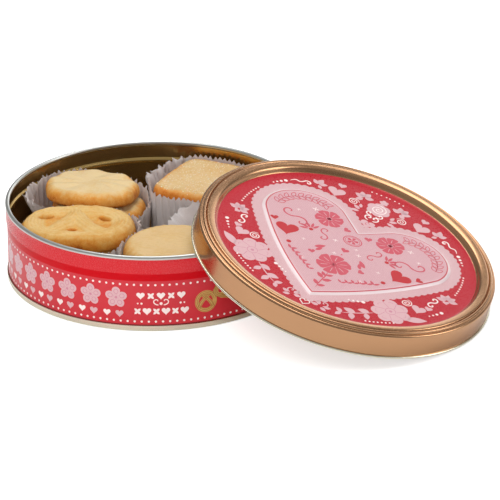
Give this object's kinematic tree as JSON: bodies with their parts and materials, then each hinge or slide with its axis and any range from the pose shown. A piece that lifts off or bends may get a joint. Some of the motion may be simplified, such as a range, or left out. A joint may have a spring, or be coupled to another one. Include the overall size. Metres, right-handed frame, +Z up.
{
  "type": "biscuit tin",
  "caption": "Round tinplate biscuit tin with its embossed slip lid leaning on the rim, holding stacked butter biscuits in pleated paper cups.",
  "frame": {"origin": "on the tin's vertical axis, at the plane the bottom seam stands on", "axes": "+Z up along the tin's axis; -Y towards the viewer's side of the tin; the lid leans on the rim towards +X, -Y"},
  "size_m": [0.2383, 0.1983, 0.0572],
  "materials": {
    "printed_tinplate": "gloss",
    "gold_tinplate": "gloss",
    "copper_tinplate": "satin",
    "cup_paper": "matte",
    "oval_biscuit": "matte",
    "pretzel_biscuit": "matte",
    "round_biscuit": "matte",
    "ring_biscuit": "matte",
    "sugared_biscuit": "matte"
  },
  "bodies": {
    "root": {"tin_body": "printed_tinplate", "tin_bottom": "gold_tinplate", "cup_front": "cup_paper", "cup_right": "cup_paper", "round_cookie_1": "round_biscuit", "round_cookie_2": "round_biscuit", "round_cookie_3": "round_biscuit", "round_cookie_4": "round_biscuit", "ring_cookie_1": "ring_biscuit", "ring_cookie_2": "ring_biscuit", "ring_cookie_3": "ring_biscuit", "ring_cookie_4": "ring_biscuit"},
    "lid": {"lid": "copper_tinplate"},
    "cup_back_left": {"cup_back_left": "cup_paper"},
    "oval_cookie_1": {"oval_cookie_1": "oval_biscuit"},
    "oval_cookie_2": {"oval_cookie_2": "oval_biscuit"},
    "oval_cookie_3": {"oval_cookie_3": "oval_biscuit"},
    "oval_cookie_4": {"oval_cookie_4": "oval_biscuit"},
    "cup_front_left": {"cup_front_left": "cup_paper"},
    "pretzel_cookie_1": {"pretzel_cookie_1": "pretzel_biscuit"},
    "pretzel_cookie_2": {"pretzel_cookie_2": "pretzel_biscuit"},
    "pretzel_cookie_3": {"pretzel_cookie_3": "pretzel_biscuit"},
    "pretzel_cookie_4": {"pretzel_cookie_4": "pretzel_biscuit"},
    "cup_back_right": {"cup_back_right": "cup_paper"},
    "sugar_cookie_1": {"sugar_cookie_1": "sugared_biscuit"},
    "sugar_cookie_2": {"sugar_cookie_2": "sugared_biscuit"},
    "sugar_cookie_3": {"sugar_cookie_3": "sugared_biscuit"},
    "sugar_cookie_4": {"sugar_cookie_4": "sugared_biscuit"}
  },
  "joints": [
    {"name": "lid_lift", "type": "slide", "parent": "root", "child": "lid", "axis": [0, 0, 1], "range_m": [0, 0.06]},
    {"name": "cup_back_left_lift", "type": "slide", "parent": "root", "child": "cup_back_left", "axis": [0, 0, 1], "range_m": [0, 0.045]},
    {"name": "oval_cookie_1_lift", "type": "slide", "parent": "cup_back_left", "child": "oval_cookie_1", "axis": [0, 0, 1], "range_m": [0, 0.04]},
    {"name": "oval_cookie_2_lift", "type": "slide", "parent": "oval_cookie_1", "child": "oval_cookie_2", "axis": [0, 0, 1], "range_m": [0, 0.04]},
    {"name": "oval_cookie_3_lift", "type": "slide", "parent": "oval_cookie_2", "child": "oval_cookie_3", "axis": [0, 0, 1], "range_m": [0, 0.04]},
    {"name": "oval_cookie_4_lift", "type": "slide", "parent": "oval_cookie_3", "child": "oval_cookie_4", "axis": [0, 0, 1], "range_m": [0, 0.04]},
    {"name": "cup_front_left_lift", "type": "slide", "parent": "root", "child": "cup_front_left", "axis": [0, 0, 1], "range_m": [0, 0.045]},
    {"name": "pretzel_cookie_1_lift", "type": "slide", "parent": "cup_front_left", "child": "pretzel_cookie_1", "axis": [0, 0, 1], "range_m": [0, 0.04]},
    {"name": "pretzel_cookie_2_lift", "type": "slide", "parent": "pretzel_cookie_1", "child": "pretzel_cookie_2", "axis": [0, 0, 1], "range_m": [0, 0.04]},
    {"name": "pretzel_cookie_3_lift", "type": "slide", "parent": "pretzel_cookie_2", "child": "pretzel_cookie_3", "axis": [0, 0, 1], "range_m": [0, 0.04]},
    {"name": "pretzel_cookie_4_lift", "type": "slide", "parent": "pretzel_cookie_3", "child": "pretzel_cookie_4", "axis": [0, 0, 1], "range_m": [0, 0.04]},
    {"name": "cup_back_right_lift", "type": "slide", "parent": "root", "child": "cup_back_right", "axis": [0, 0, 1], "range_m": [0, 0.045]},
    {"name": "sugar_cookie_1_lift", "type": "slide", "parent": "cup_back_right", "child": "sugar_cookie_1", "axis": [0, 0, 1], "range_m": [0, 0.04]},
    {"name": "sugar_cookie_2_lift", "type": "slide", "parent": "sugar_cookie_1", "child": "sugar_cookie_2", "axis": [0, 0, 1], "range_m": [0, 0.04]},
    {"name": "sugar_cookie_3_lift", "type": "slide", "parent": "sugar_cookie_2", "child": "sugar_cookie_3", "axis": [0, 0, 1], "range_m": [0, 0.04]},
    {"name": "sugar_cookie_4_lift", "type": "slide", "parent": "sugar_cookie_3", "child": "sugar_cookie_4", "axis": [0, 0, 1], "range_m": [0, 0.04]}
  ]
}
